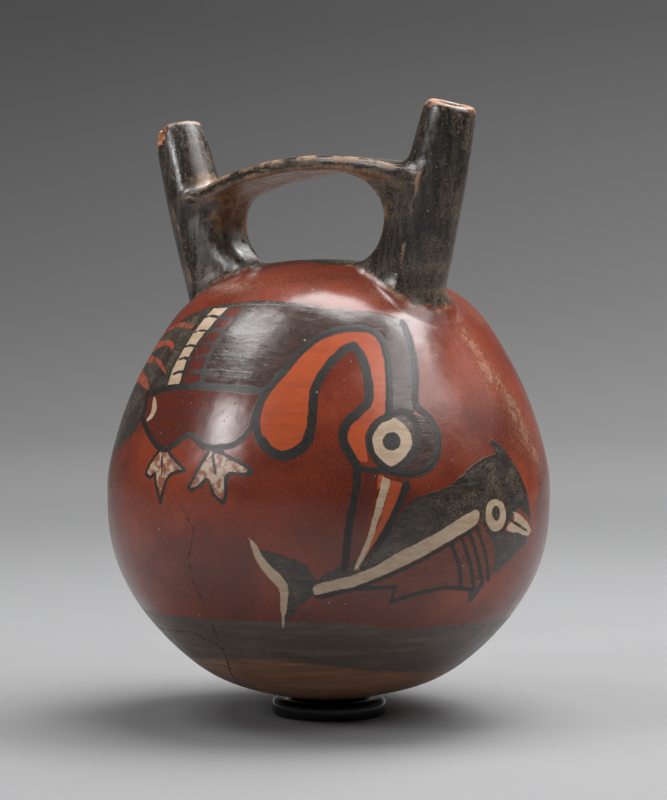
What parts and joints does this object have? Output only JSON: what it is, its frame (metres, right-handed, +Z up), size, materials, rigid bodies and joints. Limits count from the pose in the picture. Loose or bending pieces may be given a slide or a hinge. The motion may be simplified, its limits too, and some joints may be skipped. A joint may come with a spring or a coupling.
{
  "type": "double spout bottle",
  "caption": "Round clay bottle with two leaning spouts joined by a strap bridge, slip painted with a wading bird and a fish, resting on a low black display ring.",
  "frame": {"origin": "on the surface it stands on, under the centre of the display ring and of the round body", "axes": "+Z up; +X along the bridge from the left (lower-reaching) spout to the right one; the painted front faces -Y"},
  "size_m": [0.138, 0.138, 0.1888],
  "materials": {
    "painted_slip": "burnished red and polychrome slips, worn",
    "black_slip": "burnished black slip, worn to tan clay at edges",
    "bare_clay": "streaked brown clay, smoothed",
    "ring_black": "gloss black"
  },
  "bodies": {
    "ring": {"display_ring": "ring_black"},
    "bottle": {"lower_bowl": "bare_clay", "lower_wall_course": "painted_slip", "upper_wall_course": "painted_slip", "shoulder": "painted_slip", "crown_patch": "painted_slip", "left_spout": "black_slip", "right_spout": "black_slip", "left_foot_luting": "black_slip", "right_foot_luting": "black_slip", "left_bridge_web": "black_slip", "right_bridge_web": "black_slip", "bridge_strap": "black_slip"}
  },
  "joints": [
    {"name": "lift_off", "type": "slide", "parent": "ring", "child": "bottle", "axis": [0, 0, 1], "range_m": [0, 0.06]}
  ]
}
